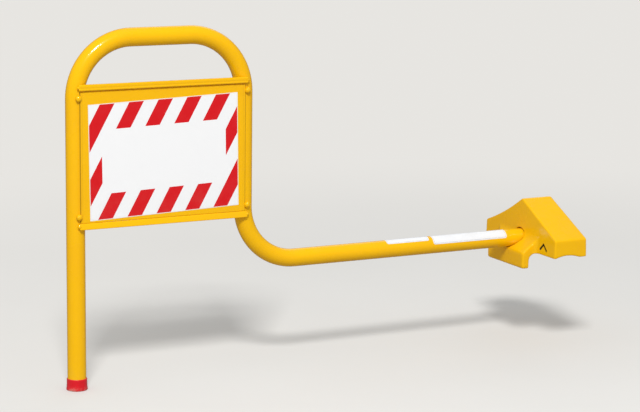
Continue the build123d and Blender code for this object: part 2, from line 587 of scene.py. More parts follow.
@dataclass(frozen=True)
class StripedPrint:
    """White vinyl with a border of slanting red stripes, read from the sheet's own print coordinates."""

    name: str = "striped_vinyl"
    width: float = 218.0
    height: float = 157.0
    row: float = 35.2
    column: float = 18.4
    margin: float = 0.8
    pitch: float = 42.25
    lean: float = 0.58
    start: float = 10.5
    rim: float = 2.5
    rim_dirt: float = 0.12
    fading: float = 0.15
    ink_height: float = 0.12
    skin: Skin = Skin(90.0, 1400.0, 0.1, 0.00004)
    dust: Dust = Dust(0.1, 0.08, 0.09)
    white: Colour = (0.90, 0.905, 0.92, 1.0)
    red: Colour = (0.68, 0.006, 0.011, 1.0)
    faded: Colour = (0.74, 0.025, 0.030, 1.0)
    grime: Colour = (0.45, 0.38, 0.29, 1.0)

    def ink(self, graph: Graph, across: object, up: object, side: object, end: object) -> object:
        """Where the red ink lies.

        A stripe is where the place across, less the lean times the place up, falls in the first half of a
        pitch. It is printed only in the border's rows and columns, and not on the outermost margin.

        Args:
            graph: the material's graph.
            across: millimetres from the sheet's left edge.
            up: millimetres from its lower edge.
            side: millimetres from its upright middle line.
            end: millimetres from its level middle line.

        Returns:
            An output socket that is 1 on ink.
        """
        leaning = graph.math("SUBTRACT", across, graph.math("MULTIPLY", up, self.lean))
        turns = graph.math("DIVIDE", graph.math("SUBTRACT", leaning, self.start), self.pitch)
        stripe = graph.math("LESS_THAN", graph.math("FRACT", turns), 0.5)
        in_column = graph.math("GREATER_THAN", side, self.width / 2 - self.column)
        in_row = graph.math("GREATER_THAN", end, self.height / 2 - self.row)
        border = graph.math("MAXIMUM", in_column, in_row)
        printed_side = graph.math("LESS_THAN", side, self.width / 2 - self.margin)
        printed_end = graph.math("LESS_THAN", end, self.height / 2 - self.margin)
        printed = graph.math("MULTIPLY", graph.math("MULTIPLY", printed_side, printed_end), border)
        return graph.math("MULTIPLY", stripe, printed)

    def make(self, effects: Effects) -> bpy.types.Material:
        """Builds the printed vinyl's material. The print coordinates run from 0 to 1 over the sheet.

        Args:
            effects: the shared node groups.

        Returns:
            The material.
        """
        material, graph = new_material(self.name)
        print_map = graph.add("ShaderNodeUVMap", uv_map="print").outputs["UV"]
        parts = graph.add("ShaderNodeSeparateXYZ", {0: print_map})
        across = graph.math("MULTIPLY", parts.outputs["X"], self.width)
        up = graph.math("MULTIPLY", parts.outputs["Y"], self.height)
        side = graph.math("ABSOLUTE", graph.math("SUBTRACT", across, self.width / 2))
        end = graph.math("ABSOLUTE", graph.math("SUBTRACT", up, self.height / 2))
        ink = self.ink(graph, across, up, side, end)
        place = graph.place()
        blotch = graph.span(graph.noise(place, 60.0, 5.0), 0.3, 0.75)
        worn_red = graph.mix(graph.math("MULTIPLY", blotch, self.fading), self.red, self.faded)
        colour = graph.mix(ink, self.white, worn_red)
        rim_side = graph.span(side, self.width / 2 - self.rim, self.width / 2)
        rim_end = graph.span(end, self.height / 2 - self.rim, self.height / 2)
        rim = graph.math("MULTIPLY", graph.math("MAXIMUM", rim_side, rim_end), self.rim_dirt)
        dust = graph.math("MULTIPLY", self.dust.mask(graph, effects, place), 0.5)
        dirt = graph.math("ADD", dust, rim, clamp=True)
        ink_step = graph.math("MULTIPLY", ink, self.ink_height)
        height = graph.math("ADD", self.skin.height(graph, effects, place), ink_step)
        sockets = {
            "Base Color": graph.mix(dirt, colour, self.grime),
            "Roughness": graph.span(blotch, 0.0, 1.0, 0.30, 0.40),
            "Specular IOR Level": 0.28,
            "Coat Weight": graph.span(dirt, 0.0, 0.6, 0.15, 0.0),
            "Coat Roughness": 0.16,
            "Normal": self.skin.normal(graph, height),
        }
        close_material(graph, graph.add("ShaderNodeBsdfPrincipled", sockets))
        return material


@dataclass(frozen=True)
class BareLabel:
    """Blank white vinyl label with a thin grey line just inside its rim."""

    name: str = "white_label"
    line_place: float = 1.5
    line_half: float = 0.22
    skin: Skin = Skin(120.0, 1200.0, 0.1, 0.00003)
    dust: Dust = Dust(0.4, GROUND, 0.05)
    white: Colour = (0.84, 0.845, 0.86, 1.0)
    line: Colour = (0.30, 0.32, 0.35, 1.0)
    grime: Colour = (0.50, 0.43, 0.33, 1.0)

    def make(self, effects: Effects) -> bpy.types.Material:
        """Builds the label's material from the rim distance, in millimetres, that its mesh carries.

        Args:
            effects: the shared node groups.

        Returns:
            The material.
        """
        material, graph = new_material(self.name)
        place = graph.place()
        rim = graph.add("ShaderNodeAttribute", attribute_name="rim").outputs["Fac"]
        from_line = graph.math("ABSOLUTE", graph.math("SUBTRACT", rim, self.line_place))
        line = graph.math("LESS_THAN", from_line, self.line_half)
        broken = graph.span(graph.noise(place, 300.0, 3.0), 0.3, 0.55, 0.25, 0.8)
        colour = graph.mix(graph.math("MULTIPLY", line, broken), self.white, self.line)
        dust = self.dust.mask(graph, effects, place)
        sockets = {
            "Base Color": graph.mix(graph.math("MULTIPLY", dust, 0.5), colour, self.grime),
            "Roughness": graph.span(dust, 0.0, 1.0, 0.3, 0.6),
            "IOR": 1.5,
            "Normal": self.skin.normal(graph, self.skin.height(graph, effects, place)),
        }
        close_material(graph, graph.add("ShaderNodeBsdfPrincipled", sockets))
        return material


@dataclass(frozen=True)
class Rubber:
    """Soft red rubber, scuffed and dusty where it meets the ground."""

    name: str = "red_cup_rubber"
    skin: Skin = Skin(260.0, 1800.0, 0.5, 0.0002)
    dust: Dust = Dust(0.8, GROUND, 0.008)
    patches: float = 70.0
    drift: float = 0.6
    rub_start: float = 0.56
    rub_breaks: float = 420.0
    fresh: Colour = (0.74, 0.008, 0.018, 1.0)
    deep: Colour = (0.60, 0.006, 0.014, 1.0)
    scuff: Colour = (0.72, 0.14, 0.12, 1.0)
    dust_colour: Colour = (0.60, 0.50, 0.38, 1.0)

    def make(self, effects: Effects) -> bpy.types.Material:
        """Builds the rubber's material.

        Args:
            effects: the shared node groups.

        Returns:
            The material.
        """
        material, graph = new_material(self.name)
        place = graph.place()
        tone_values = {"Fresh": self.fresh, "Deep": self.deep, "Patches": self.patches, "Amount": self.drift}
        tone = graph.group(effects.tone, {"Place": place} | tone_values).outputs["Color"]
        rub_values = {"Place": place, "Start": self.rub_start, "Breaks": self.rub_breaks}
        rub = graph.group(effects.rub, rub_values).outputs["Mask"]
        dust = self.dust.mask(graph, effects, place)
        colour = graph.mix(graph.math("MULTIPLY", rub, 0.5), tone, self.scuff)
        sockets = {
            "Base Color": graph.mix(dust, colour, self.dust_colour),
            "Roughness": graph.span(dust, 0.0, 0.8, 0.34, 0.8),
            "Specular IOR Level": 0.35,
            "Sheen Weight": 0.05,
            "Normal": self.skin.normal(graph, self.skin.height(graph, effects, place)),
        }
        close_material(graph, graph.add("ShaderNodeBsdfPrincipled", sockets))
        return material


@dataclass
class BentTube:
    """The one tube that is bent into leg, handle, upright and arm. Lengths are in millimetres."""

    enamel: bpy.types.Material
    arm_height: float = 16.5
    bend_radius: float = 80.0
    sides: int = 72
    bend_step: float = 2.0
    run_step: float = 8.0
    flattening: float = 0.012
    radius: float = field(init=False)
    corners: Array = field(init=False)

    def __post_init__(self) -> None:
        """Takes the tube's radius and the corners of its path from the frame."""
        low, high = node_box("frame_tube")
        upright = node_box("sign_plate")[1][0]
        self.radius = (high[1] - low[1]) / 2
        leg, handle = low[0] + self.radius, high[2] - self.radius
        arm = self.arm_height
        path = [(leg, low[2]), (leg, handle), (upright, handle), (upright, arm), (high[0], arm)]
        self.corners = np.array(path)

    def centre_line(self) -> tuple[Array, Array, Array]:
        """The path with its corners rounded.

        Straight runs are cut into equal steps. At each corner a quarter circle takes the place of the last
        stretch of one run and the first of the next.

        Returns:
            Points, unit directions and how far into a bend each point is, signed by the side it turns to.
        """
        points, directions, bends = [], [], []
        start = self.corners[0]
        for index in range(1, len(self.corners)):
            corner = self.corners[index]
            ahead = (corner - self.corners[index - 1]) / np.linalg.norm(corner - self.corners[index - 1])
            last = index == len(self.corners) - 1
            end = corner if last else corner - ahead * self.bend_radius
            count = max(2, int(np.linalg.norm(end - start) / self.run_step))
            share = np.linspace(0, 1, count + 1)[:, None]
            points.append(start + (end - start) * share)
            directions.append(np.repeat(ahead[None], count + 1, axis=0))
            bends.append(np.zeros(count + 1))
            if last:
                break
            turned = (self.corners[index + 1] - corner) / np.linalg.norm(self.corners[index + 1] - corner)
            angle = np.radians(np.arange(self.bend_step, 90, self.bend_step))[:, None]
            centre = end + turned * self.bend_radius
            points.append(centre + self.bend_radius * (ahead * np.sin(angle) - turned * np.cos(angle)))
            directions.append(ahead * np.cos(angle) + turned * np.sin(angle))
            side = float(np.sign(ahead[0] * turned[1] - ahead[1] * turned[0]))
            bends.append(side * np.sin(2 * angle[:, 0]) ** 0.5)
            start = centre + ahead * self.bend_radius
        return np.concatenate(points), np.concatenate(directions), np.concatenate(bends)

    def build(self) -> bpy.types.Object:
        """Carries a circle along the centre line.

        Each ring is turned square to the path. In a bend the outer side is drawn in a little, as on any bent
        tube, by a share of the radius that grows with the square of the cosine from the outermost line.

        Returns:
            The tube.
        """
        line, ahead, bend = self.centre_line()
        round_angle = np.linspace(0, 2 * np.pi, self.sides, endpoint=False)
        inward = np.stack([-ahead[:, 1], ahead[:, 0]], axis=1)
        cosine = np.cos(round_angle)[None]
        outer = np.clip(-cosine * np.sign(bend)[:, None], 0, 1)
        radius = self.radius * (1 - self.flattening * np.abs(bend)[:, None] * outer**2)
        flat = line[:, None] + inward[:, None] * (radius * cosine)[..., None]
        depth = radius * np.sin(round_angle)[None]
        points = np.stack([flat[..., 0], depth, flat[..., 1]], axis=2)
        tube = add_piece("bent_tube", points, tube_faces(len(line), self.sides), ["frame_tube"])
        shade_by_angle(tube, 50)
        dress(tube, self.enamel)
        report(tube)
        return tube


@dataclass
class FootCup:
    """Rubber cup on the end of the leg. Lengths are in millimetres."""

    rubber: bpy.types.Material
    wall: float = 1.1
    flare: float = 1.0
    lip_round: float = 0.5
    wobble: float = 0.22
    sides: int = 96

    def build(self) -> bpy.types.Object:
        """Turns the cup's outline round the leg.

        The outline goes from the middle of the base out, up the flared wall, over the rounded rim and down
        the leg. The wall's radius swings a little with the angle, as soft rubber does when it is pushed on.

        Returns:
            The cup.
        """
        low, high = node_box("foot_cap")
        centre = (low[:2] + high[:2]) / 2
        tube = (node_box("frame_tube")[1][1] - node_box("frame_tube")[0][1]) / 2
        height, base = high[2] - low[2], tube + self.wall + self.flare
        rim = height - self.lip_round
        outline = np.array(
            [
                (base * 0.55, 0.0),
                (base - 1.0, 0.0),
                (base - 0.3, 0.25),
                (base, 0.95),
                (base - 0.12, 2.2),
                (base - 0.35, 3.2),
                (tube + self.wall + 0.45, 6.0),
                (tube + self.wall + 0.2, rim - 2.6),
                (tube + self.wall + 0.3, rim - 1.4),
                (tube + self.wall + 0.25, rim - 0.3),
                (tube + self.wall, rim + 0.2),
                (tube + self.wall / 2, height),
                (tube + 0.12, rim + 0.25),
                (tube - 0.35, rim - 1.2),
            ]
        )
        angle = np.linspace(0, 2 * np.pi, self.sides, endpoint=False)
        swing = waves(2 * np.cos(angle), 2 * np.sin(angle), 3.0, 0.7)[None] - 1
        on_wall = np.clip((outline[:, 0] - tube) / self.wall, 0, 1)[:, None]
        radius = outline[:, :1] + self.wobble * swing * on_wall
        points = np.stack(
            [
                centre[0] + radius * np.cos(angle),
                centre[1] + radius * np.sin(angle),
                np.broadcast_to(low[2] + outline[:, 1:], radius.shape),
            ],
            axis=2,
        )
        cup = add_piece("rubber_cup", points, tube_faces(len(outline), self.sides), ["foot_cap"])
        shade_by_angle(cup, 60)
        dress(cup, self.rubber)
        report(cup)
        return cup


@dataclass
class WarningPanel:
    """Sheet, edge rails, welds and print between the two uprights. Lengths are in millimetres."""

    enamel: bpy.types.Material
    weld_enamel: bpy.types.Material
    vinyl: bpy.types.Material
    lip_left: float = 2.2
    lip_right: float = 3.0
    lip_step: float = 1.6
    edge_round: float = 1.2
    hem: float = 2.9
    hem_depth: float = 0.2
    hem_width: float = 0.5
    sag: float = 0.12
    # Strength of the painted shade in the corner of each step and in the fold dents.
    corner_painted_shade: float = 0.55
    fold_painted_shade: float = 0.12
    bar_depth: float = 5.0
    sill_depth: float = 2.5
    squareness: float = 0.4
    groove_depth: float = 0.5
    groove_width: float = 0.6
    groove_place: float = 0.36
    end_length: float = 1.6
    end_shrink: float = 0.3
    bow: float = 0.08
    lumpiness: float = 0.09
    lip: float = 1.5
    lip_thickness: float = 0.8
    print_width: float = 218.0
    print_height: float = 157.0
    print_tilt: float = 1.8
    print_lean: float = 0.85

    def build(self) -> list[bpy.types.Object]:
        """Builds every piece of the panel in order.

        Returns:
            The pieces.
        """
        upper = self.rail("upper_rail", "top_rail", self.bar_depth, self.groove_depth, self.lip)
        lower = self.rail("lower_rail", "bottom_rail", self.sill_depth, 0.0, 0.0)
        pieces = [self.sheet(), upper, lower, self.corner_welds(), self.end_welds(), self.print_sheet()]
        for piece in pieces:
            report(piece)
        return pieces

    def sheet(self) -> bpy.types.Object:
        """The flat sheet with a thin lip on the tube at each side and a faint fold line inside it.

        Its front lies on the CAD sheet's front face. Over the lips it steps back, and a quarter ellipse
        rounds the step. The upper and lower edges are quarter circles. The fold lines are dents with the
        outline of a bell curve, and the field between them is a little uneven. Painted shade darkens the
        corner of the steps and, more faintly, the fold dents.

        Returns:
            The sheet.
        """
        low, high = node_box("sign_plate")
        # Lines of points lie close together over the lips and wide apart in the field.
        steps = np.concatenate([np.linspace(0, self.lip_right + self.edge_round, 28), np.arange(5, 11)])
        middle = np.linspace(low[0] + 11, high[0] - 11, 150)
        across = np.concatenate([low[0] + steps, middle, high[0] - steps[::-1]])
        rounds = self.edge_round * (1 - np.cos(np.linspace(0, np.pi / 2, 10)))
        field_up = np.linspace(low[2] + 2, high[2] - 2, 90)
        up = np.concatenate([low[2] + rounds, field_up, high[2] - rounds[::-1]])
        z, x = np.meshgrid(up, across, indexing="ij")
        to_end = np.minimum(z - low[2], high[2] - z)
        to_side = np.minimum(x - low[0] - self.lip_left, high[0] - x - self.lip_right)
        missing = np.clip(1 - to_side / self.edge_round, 0, 1)
        step = self.lip_step * (1 - np.sqrt(np.clip(1 - missing**2, 0, 1)))
        missing = np.clip(1 - to_end / self.edge_round, 0, 1)
        ends = 0.8 * self.edge_round * (1 - np.sqrt(np.clip(1 - missing**2, 0, 1)))
        dent = self.hem_depth * np.exp(-(((to_side - self.hem) / self.hem_width) ** 2))
        inner = np.clip(np.minimum(to_side, to_end) / 20, 0, 1)
        uneven = self.sag * (1 + waves(x, z, 150.0, 1.3)) / 2 * inner
        front = np.stack([x, low[1] + np.maximum(step, ends) + dent + uneven, z], axis=2)
        points, faces = closed_sheet(front, np.stack([x, np.full_like(x, high[1]), z], axis=2))
        sheet = add_piece("panel_sheet", points, faces, ["sign_plate"])
        # Painted shade: darkens the crevice at the foot of each lip step and, faintly, the fold dents.
        dirt = self.corner_painted_shade * np.exp(-((to_side / 0.7) ** 2))
        dirt += self.fold_painted_shade * np.exp(-(((to_side - self.hem) / self.hem_width) ** 2))
        add_values(sheet, "painted_shade", np.concatenate([dirt.ravel(), np.zeros(dirt.size)]))
        shade_by_angle(sheet, 60)
        dress(sheet, self.enamel)
        return sheet

    def rail(self, name: str, node: str, top_depth: float, groove: float, lip: float) -> bpy.types.Object:
        """A rounded bar, with a folded seam along its front or with a front that leans out like a sill.

        The section is a rounded rectangle given by a superellipse, whose depth runs evenly from the one at
        the top to the bar's own at the bottom. The seam is a bell-shaped dent in the front at a third of the
        height. The section shrinks over the last millimetres to close each end softly. A thin lip can hang
        from the bar's back, so that the gap to the sheet is closed and lies in shade.

        Args:
            name: the piece's name.
            node: the CAD rail that it stands for.
            top_depth: the section's depth at its top.
            groove: the seam's depth.
            lip: how far a lip hangs below the bar, 0 for none.

        Returns:
            The rail.
        """
        low, high = node_box(node)
        full, tall = high[1] - low[1], high[2] - low[2]
        angle = np.linspace(0, 2 * np.pi, 120, endpoint=False)
        forward = (1 - np.sign(np.cos(angle)) * np.abs(np.cos(angle)) ** self.squareness) / 2
        share = (1 + np.sign(np.sin(angle)) * np.abs(np.sin(angle)) ** self.squareness) / 2
        depth = forward * (full + (top_depth - full) * share)
        from_groove = (share - self.groove_place) * tall / self.groove_width
        depth -= (forward > 0.5) * groove * np.exp(-(from_groove**2))
        run = high[0] - low[0]
        ends = np.array([0.0, 0.15, 0.5, 1.0, self.end_length])
        along = np.concatenate([ends, np.linspace(3, run - 3, 90), run - ends[::-1]])
        from_end = np.minimum(along, run - along)
        shrink = 1 - self.end_shrink * np.clip(1 - from_end / self.end_length, 0, 1) ** 2.5
        bow = self.bow * (waves(along, 0 * along, 180.0, tall) - 1) * np.clip(from_end / 30, 0, 1)
        x = np.repeat((low[0] + along)[:, None], len(angle), axis=1)
        y = high[1] - full / 2 - (depth - full / 2)[None] * shrink[:, None]
        z = (low[2] + high[2]) / 2 + (share - 0.5)[None] * tall * shrink[:, None] + bow[:, None] * share[None]
        points = np.stack([x, y, z], axis=2).reshape(-1, 3)
        faces = [face[::-1] for face in tube_faces(*x.shape)]
        if lip > 0:
            spread, fall = np.meshgrid(np.linspace(low[0] + 1, high[0] - 1, 60), (low[2] - lip, low[2] + 1.0))
            front = np.stack([spread, np.full_like(spread, high[1] - self.lip_thickness), fall], axis=2)
            lip_points, lip_faces = closed_sheet(front, front + np.array([0, self.lip_thickness - 0.05, 0]))
            faces += (np.array(lip_faces) + len(points)).tolist()
            points = np.concatenate([points, lip_points])
        rail = add_piece(name, points, faces, [node])
        shade_by_angle(rail, 60)
        dress(rail, self.enamel)
        return rail

    def beads(self, centres: Array, half_sizes: Array, seed: float) -> tuple[Array, list]:
        """Lumps of weld metal.

        Each is a ball stretched to its half sizes, whose radius swings by a tenth with both angles, with
        other phases for each lump. The two poles are single points.

        Args:
            centres: the middle of each lump.
            half_sizes: half its size along X, Y and Z.
            seed: phase that makes one set unlike another.

        Returns:
            All points and all faces.
        """
        across, down = 36, 18
        turn = np.linspace(0, 2 * np.pi, across, endpoint=False)[None]
        tilt = np.linspace(0, np.pi, down + 1)[1:-1, None]
        ball = [np.sin(tilt) * np.cos(turn), -np.cos(tilt) * np.ones_like(turn), np.sin(tilt) * np.sin(turn)]
        shape = np.stack(ball, axis=2)
        rings, ring = len(shape), np.arange(across)
        points, faces = [], []
        for index, centre in enumerate(centres):
            phase = seed + 1.9 * index
            bumps = waves(shape[..., 0] * 2 + phase, shape[..., 2] * 2, 2.4, phase)
            swing = 1 - self.lumpiness * (1 + bumps) / 2
            body = centre + shape * swing[..., None] * half_sizes
            poles = centre + np.array([[0, -0.95, 0], [0, 0.95, 0]]) * half_sizes
            base = index * (rings * across + 2)
            pole = base + rings * across
            faces += (grid_quads(rings, across, Way.ROUND)[:, ::-1] + base).tolist()
            faces += fan_faces(pole, base + ring)
            faces += fan_faces(pole + 1, (pole - across + ring)[::-1])
            points.append(np.concatenate([body.reshape(-1, 3), poles]))
        return np.concatenate(points), faces

    def corner_welds(self) -> bpy.types.Object:
        """The four tack welds on the sheet's corners, where it lies over the uprights.

        Returns:
            The welds.
        """
        low, high = node_box("plate_tacks")
        sheet_low, sheet_high = node_box("sign_plate")
        reach = (high[0] - low[0] - (sheet_high[0] - sheet_low[0])) / 2
        heights = (low[2] + reach, high[2] - reach)
        centres = np.array([(x, sheet_low[1], z) for x in (sheet_low[0], sheet_high[0]) for z in heights])
        half_sizes = np.array([reach * 0.95, reach * 0.86, reach * 0.99])
        points, faces = self.beads(centres, half_sizes, 0.4)
        welds = add_piece("corner_welds", points, faces, ["plate_tacks"])
        dress(welds, self.weld_enamel)
        return welds

    def end_welds(self) -> bpy.types.Object:
        """Four small welds where the ends of the rails meet the uprights.

        Returns:
            The welds.
        """
        low, high = node_box("rail_nibs")
        sheet_low, sheet_high = node_box("sign_plate")
        reach = (high[0] - low[0] - (sheet_high[0] - sheet_low[0])) / 2
        heights = (low[2] + reach, high[2] - reach)
        middle = (low[1] + high[1]) / 2
        centres = np.array([(x, middle, z) for x in (sheet_low[0], sheet_high[0]) for z in heights])
        points, faces = self.beads(centres, np.array([reach, reach, reach]), 2.2)
        welds = add_piece("end_welds", points, faces, ["rail_nibs"])
        dress(welds, self.weld_enamel)
        return welds

    def print_sheet(self) -> bpy.types.Object:
        """The striped vinyl, stuck on a little askew.

        A flat grid is turned by the tilt about its middle, with its upright edges leaning a little less, and
        follows the sheet below it. Its print coordinates run from 0 to 1 each way.

        Returns:
            The print.
        """
        low, high = node_box("sign_decal")
        middle = (low + high) / 2
        u, v = np.meshgrid(np.linspace(0, 1, 120), np.linspace(0, 1, 90))
        across, up = (u - 0.5) * self.print_width, (v - 0.5) * self.print_height
        tilt, lean = math.radians(self.print_tilt), math.radians(self.print_lean)
        x = middle[0] + across * math.cos(tilt) - up * math.sin(lean)
        z = middle[2] + across * math.sin(tilt) + up * math.cos(tilt)
        lift = 0.05 * (1 + waves(x, z, 60.0, 0.5)) / 2
        front = np.stack([x, low[1] + lift, z], axis=2)
        back = np.stack([x, np.full_like(x, high[1]), z], axis=2)
        points, faces = closed_sheet(front, back)
        sheet = add_piece("striped_print", points, faces, ["sign_decal"])
        layer = sheet.data.uv_layers.new(name="print")
        corner = np.zeros(len(sheet.data.loops), np.int64)
        sheet.data.loops.foreach_get("vertex_index", corner)
        places = np.stack([u.ravel(), v.ravel()], axis=1)
        layer.data.foreach_set("uv", np.concatenate([places, places])[corner].ravel().astype(np.float32))
        shade_by_angle(sheet, 40)
        dress(sheet, self.vinyl)
        return sheet


@dataclass
class ArmLabels:
    """Two blank labels wrapped over the arm. Lengths are in millimetres and angles in degrees."""

    vinyl: bpy.types.Material
    arm_height: float = 16.5
    tube_radius: float = 12.7
    lift: float = 0.12
    film: float = 0.18
    sunk: float = 0.1
    corner: float = 3.0

    def wrap(self, name: str, node: str, low_angle: float, arc: float) -> bpy.types.Object:
        """One label with round corners, bent round the tube.

        A grid runs along the tube and round it. Near each end the part round the tube gets narrower by a
        quarter circle, which rounds the corners. The distance from the rim is kept as an attribute.

        Args:
            name: the piece's name.
            node: the CAD label that it stands for.
            low_angle: angle of its lower front edge above level.
            arc: angle that it covers round the tube.

        Returns:
            The label.
        """
        low, high = node_box(node)
        length, width = high[0] - low[0], math.radians(arc) * self.tube_radius
        ends = self.corner * (1 - np.cos(np.linspace(0, np.pi / 2, 12)))
        middle = np.linspace(self.corner, length - self.corner, 60)[1:-1]
        along = np.concatenate([ends, middle, length - ends[::-1]])
        to_end = np.minimum(np.minimum(along, length - along), self.corner)
        cut = self.corner - np.sqrt(self.corner**2 - (self.corner - to_end) ** 2)
        share = np.linspace(0, 1, 40)
        across = cut[:, None] + (width - 2 * cut[:, None]) * share[None]
        rim = np.minimum(np.minimum(across, width - across), np.minimum(along, length - along)[:, None])
        angle = np.pi - math.radians(low_angle) - across / self.tube_radius
        x = np.broadcast_to((low[0] + along)[:, None], angle.shape)
        skins = [
            np.stack([x, radius * np.cos(angle), self.arm_height + radius * np.sin(angle)], axis=2)
            for radius in self.tube_radius + self.lift + np.array([self.film, -self.sunk])
        ]
        points, faces = closed_sheet(*skins)
        label = add_piece(name, points, faces, [node])
        add_values(label, "rim", np.concatenate([rim, rim]))
        shade_by_angle(label, 40)
        dress(label, self.vinyl)
        report(label)
        return label

    def build(self) -> list[bpy.types.Object]:
        """Wraps both labels.

        Returns:
            The short and the long label.
        """
        small = self.wrap("small_wrap", "short_label", 43.0, 88.0)
        large = self.wrap("large_wrap", "long_label", 13.0, 116.0)
        return [small, large]


def blend_union(first: Array, second: Array, reach: float) -> Array:
    """Joins two fields of distances with a round fillet where both are near.

    Where they differ by less than the reach, the smaller is lowered by the square of what is missing.

    Args:
        first: distances to one body, negative inside.
        second: distances to the other.
        reach: how near the two have to be to blend.

    Returns:
        Distances to both together.
    """
    near = np.clip(1 - np.abs(first - second) / reach, 0, 1)
    return np.minimum(first, second) - near**2 * reach / 4


def blend_cut(body: Array, tool: Array, reach: float) -> Array:
    """Takes a tool away from a body and rounds the edge that this leaves."""
    return -blend_union(-body, tool, reach)


def slab_meet(distances: list[Array], softness: float) -> Array:
    """The region inside all of several faces, with its edges rounded.

    The logarithm of the sum of the exponentials of the distances is a soft maximum of them.

    Args:
        distances: distance outside each face.
        softness: about four tenths of the radius of the edges.

    Returns:
        Distances to the region.
    """
    top = distances[0]
    for distance in distances[1:]:
        top = np.maximum(top, distance)
    total = sum(np.exp((distance - top) / softness) for distance in distances)
    return top + softness * np.log(total)


def face_distance(a: Array, b: Array, start: tuple[float, float], end: tuple[float, float]) -> Array:
    """Distance outside a face that is seen on edge, as a line with the outside on its right.

    It is the cross product of the line's unit direction with the way from its start.

    Args:
        a: first coordinate of each place.
        b: second coordinate of each place.
        start: a point on the line.
        end: another, further along it.

    Returns:
        Distances, negative inside.
    """
    along = np.array(end, float) - np.array(start, float)
    along /= np.linalg.norm(along)
    return (a - start[0]) * along[1] - (b - start[1]) * along[0]


def surface_net(values: Array, origin: Array, step: float) -> tuple[Array, Array]:
    """Surface where a field of distances is zero.

    Every cell whose corners differ in sign gets one point, at the mean of the places where its edges cross
    zero. Every grid edge that crosses zero gets one quad, through the four cells round it.

    Args:
        values: the field on a regular grid.
        origin: the first grid point's place.
        step: distance between grid points.

    Returns:
        Points and quads that face outwards.
    """
    inside = values < 0
    offsets = np.array([(i, j, k) for i in (0, 1) for j in (0, 1) for k in (0, 1)])
    shape = np.array(values.shape) - 1
    count = np.zeros(shape, np.int8)
    for i, j, k in offsets:
        count += inside[i : i + shape[0], j : j + shape[1], k : k + shape[2]]
    cell = np.argwhere((count > 0) & (count < 8))
    number = np.full(shape, -1, np.int64)
    number[tuple(cell.T)] = np.arange(len(cell))
    total, hits = np.zeros((len(cell), 3)), np.zeros(len(cell))
    for first in offsets:
        for axis in np.flatnonzero(first == 0):
            second = first + np.eye(3, dtype=int)[axis]
            near, far = values[tuple((cell + first).T)], values[tuple((cell + second).T)]
            crosses = (near < 0) != (far < 0)
            share = np.where(crosses, near / np.where(crosses, near - far, 1), 0)
            total += crosses[:, None] * (cell + first + share[:, None] * (second - first))
            hits += crosses
    points = origin + step * total / hits[:, None]
    quads = []
    for axis in range(3):
        one, two = (axis + 1) % 3, (axis + 2) % 3
        ahead = np.roll(inside, -1, axis=axis)
        crosses = inside != ahead
        crosses[tuple(slice(-1, None) if a == axis else slice(None) for a in range(3))] = False
        edge = np.argwhere(crosses)
        edge = edge[(edge[:, one] > 0) & (edge[:, two] > 0)]
        back_one, back_two = np.eye(3, dtype=int)[one], np.eye(3, dtype=int)[two]
        round_edge = [edge, edge - back_one, edge - back_one - back_two, edge - back_two]
        ring = np.stack([number[tuple(c.T)] for c in round_edge], axis=1)
        outward = inside[tuple(edge.T)]
        quads.append(np.where(outward[:, None], ring, ring[:, ::-1]))
    return points, np.concatenate(quads)


